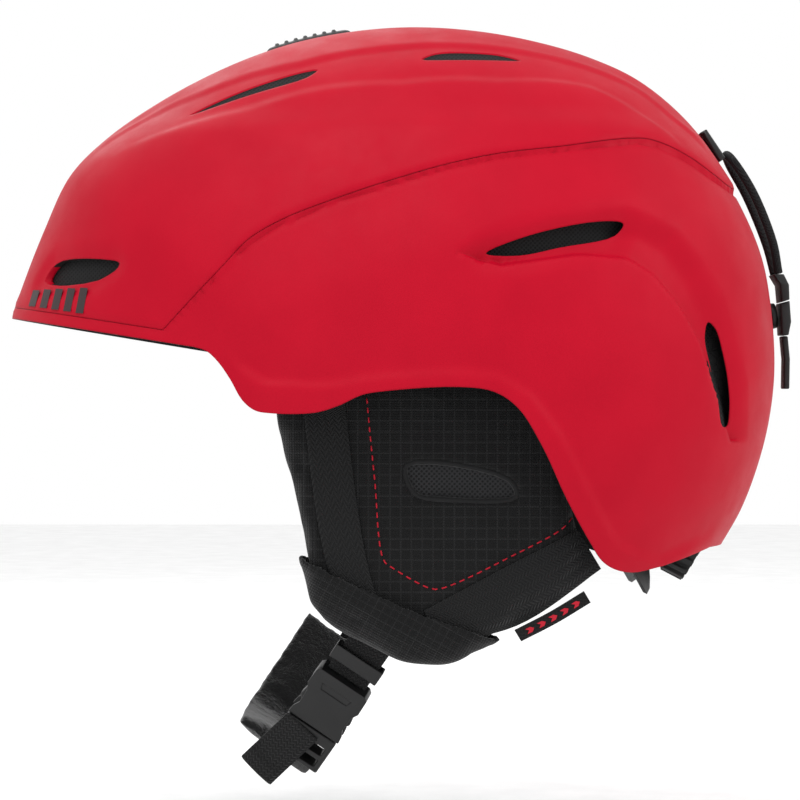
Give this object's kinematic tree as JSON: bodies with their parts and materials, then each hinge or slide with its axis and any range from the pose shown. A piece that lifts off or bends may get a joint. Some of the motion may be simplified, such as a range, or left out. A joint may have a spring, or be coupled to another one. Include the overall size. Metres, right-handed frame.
{
  "type": "ski helmet",
  "caption": "Full ski helmet with a two-piece shell, sliding roof vent, padded ear pieces, rear fit dial, chin strap with a release buckle and a goggle retainer.",
  "frame": {"origin": "centre of the head space, on the midplane, level with the top of the ear openings", "axes": "front of the helmet -Y, rear +Y; the wearer's left +X, right -X; crown +Z, chin -Z"},
  "size_m": [0.2122, 0.2946, 0.2825],
  "materials": {
    "shell_red": "satin",
    "foam": "matte",
    "lining": "matte",
    "ear_fabric": "matte",
    "mesh": "matte",
    "cuff_fabric": "matte",
    "webbing": "matte",
    "tag": "matte",
    "fleece": "matte",
    "buckle_plastic": "satin",
    "vent_plastic": "matte",
    "fit_plastic": "satin",
    "screw_steel": "satin",
    "retainer_plastic": "matte",
    "cord": "matte"
  },
  "bodies": {
    "helmet": {"crown_shell": "shell_red", "lower_shell": "shell_red", "foam_liner": "foam", "brow_pad": "lining", "crown_pad": "lining", "temple_pad_left": "lining", "temple_pad_right": "lining", "nape_pad": "lining", "ear_pad_left": "ear_fabric", "ear_pad_right": "ear_fabric", "ear_vent_mesh_left": "mesh", "ear_vent_mesh_right": "mesh", "ear_cuff_left": "cuff_fabric", "ear_cuff_right": "cuff_fabric", "front_strap_left": "webbing", "front_strap_right": "webbing", "rear_strap_left": "webbing", "rear_strap_right": "webbing", "strap_junction_left": "buckle_plastic", "strap_junction_right": "buckle_plastic", "cuff_tag_left": "tag", "cradle_yoke": "fit_plastic", "cradle_pad": "lining", "dial_housing": "fit_plastic", "belt_guide_left": "fit_plastic", "belt_guide_right": "fit_plastic", "cradle_hanger": "fit_plastic", "goggle_anchor": "retainer_plastic", "goggle_stud": "retainer_plastic"},
    "vent_slider": {"vent_slider_knob": "vent_plastic", "vent_shutter": "vent_plastic"},
    "chin_leg": {"chin_strap_left": "webbing", "strap_keeper": "buckle_plastic", "buckle_female": "buckle_plastic"},
    "chin_sling": {"buckle_male": "buckle_plastic", "strap_tail": "webbing", "chin_strap_right": "webbing", "chin_pad": "fleece"},
    "prong_rear": {"buckle_prong_rear": "buckle_plastic"},
    "prong_front": {"buckle_prong_front": "buckle_plastic"},
    "dial": {"dial_knob": "fit_plastic", "dial_pinion": "fit_plastic", "dial_screw": "screw_steel"},
    "belt_left": {"fit_belt_left": "fit_plastic"},
    "belt_right": {"fit_belt_right": "fit_plastic"},
    "goggle_retainer": {"goggle_cord": "cord", "goggle_hook": "retainer_plastic", "goggle_clip": "retainer_plastic", "goggle_pull_tab": "retainer_plastic"}
  },
  "joints": [
    {"name": "vent_slide", "type": "hinge", "parent": "helmet", "child": "vent_slider", "pos_m": [0, 0.0063, -0.0372], "axis": [-1, 0, 0], "range_deg": [0, 3.9]},
    {"name": "chin_swing", "type": "hinge", "parent": "helmet", "child": "chin_leg", "pos_m": [0, -0.0052, -0.08], "axis": [1, 0, 0], "range_deg": [-20, 30]},
    {"name": "buckle_release", "type": "hinge", "parent": "chin_leg", "child": "chin_sling", "pos_m": [-0.0625, -0.00347, -0.07742], "axis": [0, 0.8305, -0.557], "range_deg": [0, 10]},
    {"name": "prong_rear_squeeze", "type": "hinge", "parent": "chin_sling", "child": "prong_rear", "pos_m": [0.04139, -0.02475, -0.12306], "axis": [0.9219, -0.2159, -0.3218], "range_deg": [0, 8], "stiffness_Nm_per_rad": 0.05},
    {"name": "prong_front_squeeze", "type": "hinge", "parent": "chin_sling", "child": "prong_front", "pos_m": [0.04139, -0.03762, -0.11442], "axis": [-0.9219, 0.2159, 0.3218], "range_deg": [0, 8], "stiffness_Nm_per_rad": 0.05},
    {"name": "dial_turn", "type": "hinge", "parent": "helmet", "child": "dial", "pos_m": [0, 0.10948, -0.05349], "axis": [0, -0.8862, 0.4633], "range_deg": [0, 110]},
    {"name": "belt_left_draw", "type": "hinge", "parent": "helmet", "child": "belt_left", "pos_m": [0, 0.0416, -0.018], "axis": [0, 0.4633, 0.8862], "range_deg": [0, 9]},
    {"name": "belt_right_draw", "type": "hinge", "parent": "helmet", "child": "belt_right", "pos_m": [0, 0.0416, -0.018], "axis": [0, -0.4633, -0.8862], "range_deg": [0, 9]},
    {"name": "retainer_swing", "type": "hinge", "parent": "helmet", "child": "goggle_retainer", "pos_m": [0, 0.1184, 0.0955], "axis": [1, 0, 0], "range_deg": [0, 80]}
  ],
  "couplings": [
    {"joint": "belt_left_draw", "follows": "dial_turn", "ratio": 0.08028},
    {"joint": "belt_right_draw", "follows": "dial_turn", "ratio": 0.08028}
  ]
}
